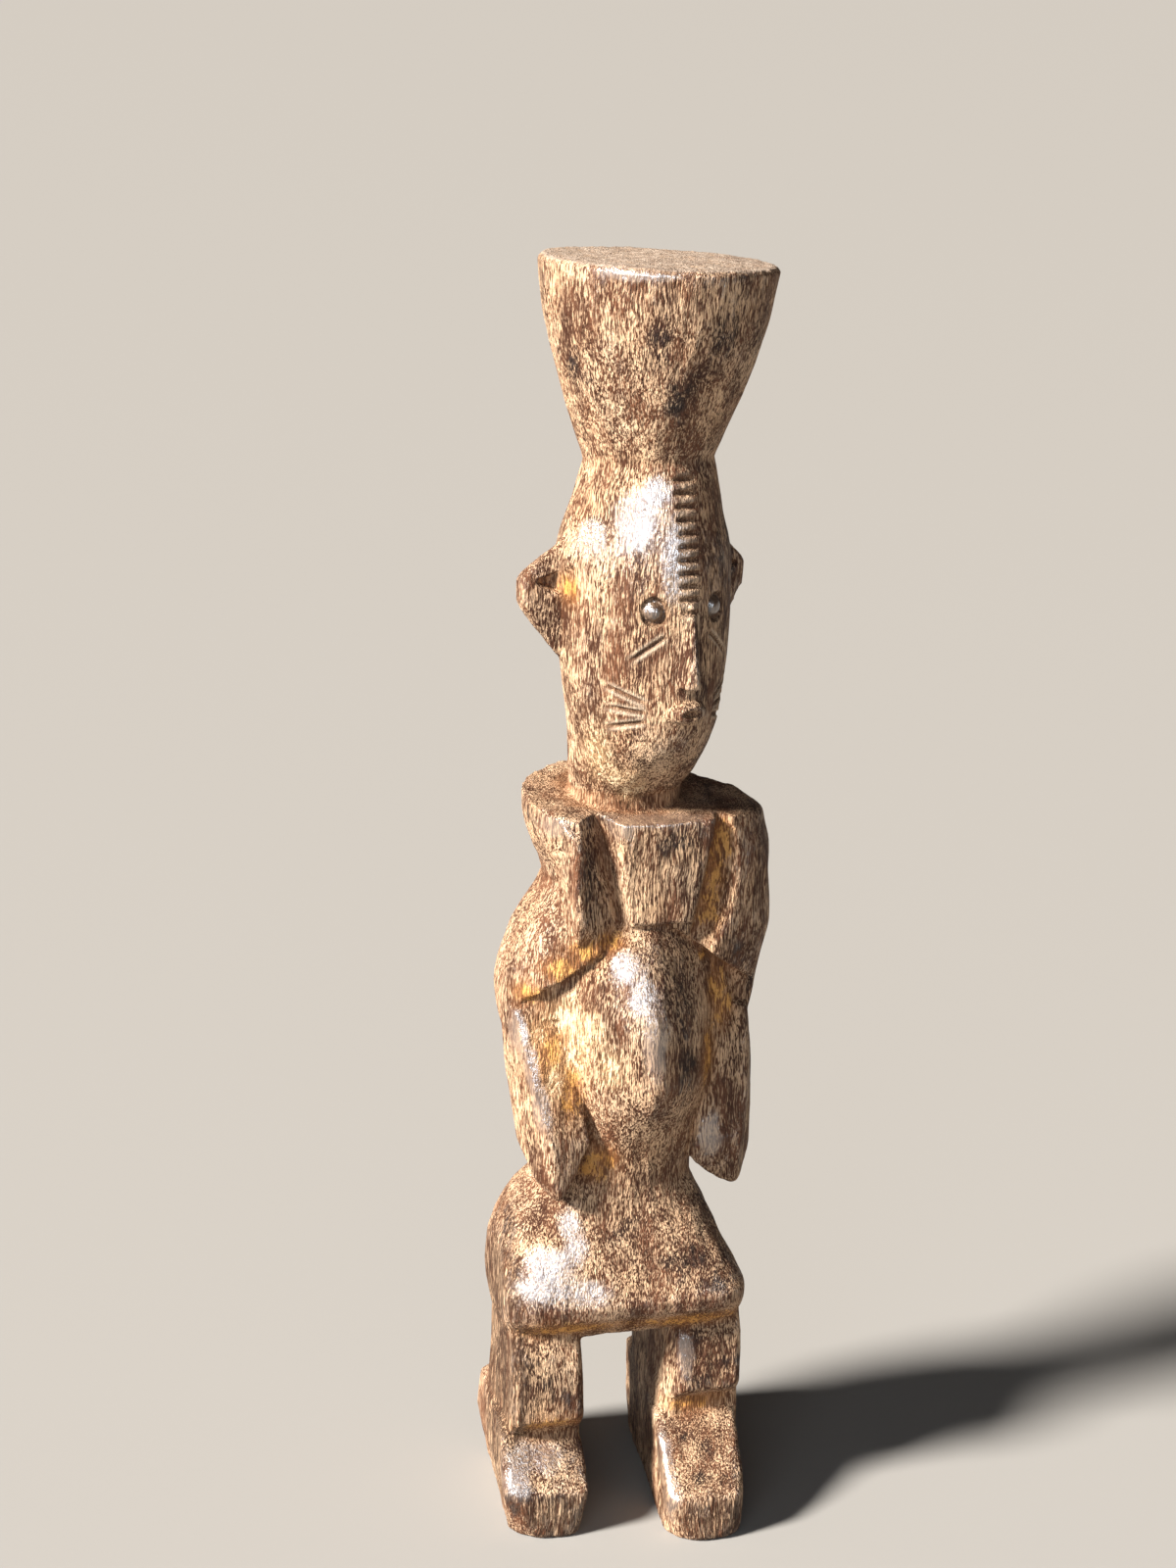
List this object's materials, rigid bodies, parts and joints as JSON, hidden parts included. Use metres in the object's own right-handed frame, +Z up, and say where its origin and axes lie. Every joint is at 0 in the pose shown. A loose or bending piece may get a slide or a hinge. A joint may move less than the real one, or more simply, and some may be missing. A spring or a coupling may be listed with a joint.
{
  "type": "carved wooden ancestor figure",
  "caption": "Small standing ancestor figure carved from one log, with a tall flaring coiffure, flange ears, collar-like shoulders, arms at its sides, a keeled belly and short legs.",
  "frame": {"origin": "centre of the bounding box's base, on the plane of the soles", "axes": "+Z up the figure to the top of the coiffure, the figure faces -Y, its own left hand is at +X"},
  "size_m": [0.0664, 0.065, 0.301],
  "materials": {
    "carved_wood": "aged dark brown patina with tan open pores, ochre dirt in the cuts and a dull sheen on the worn high spots"
  },
  "bodies": {
    "root": {"figure": "carved_wood"}
  },
  "joints": []
}
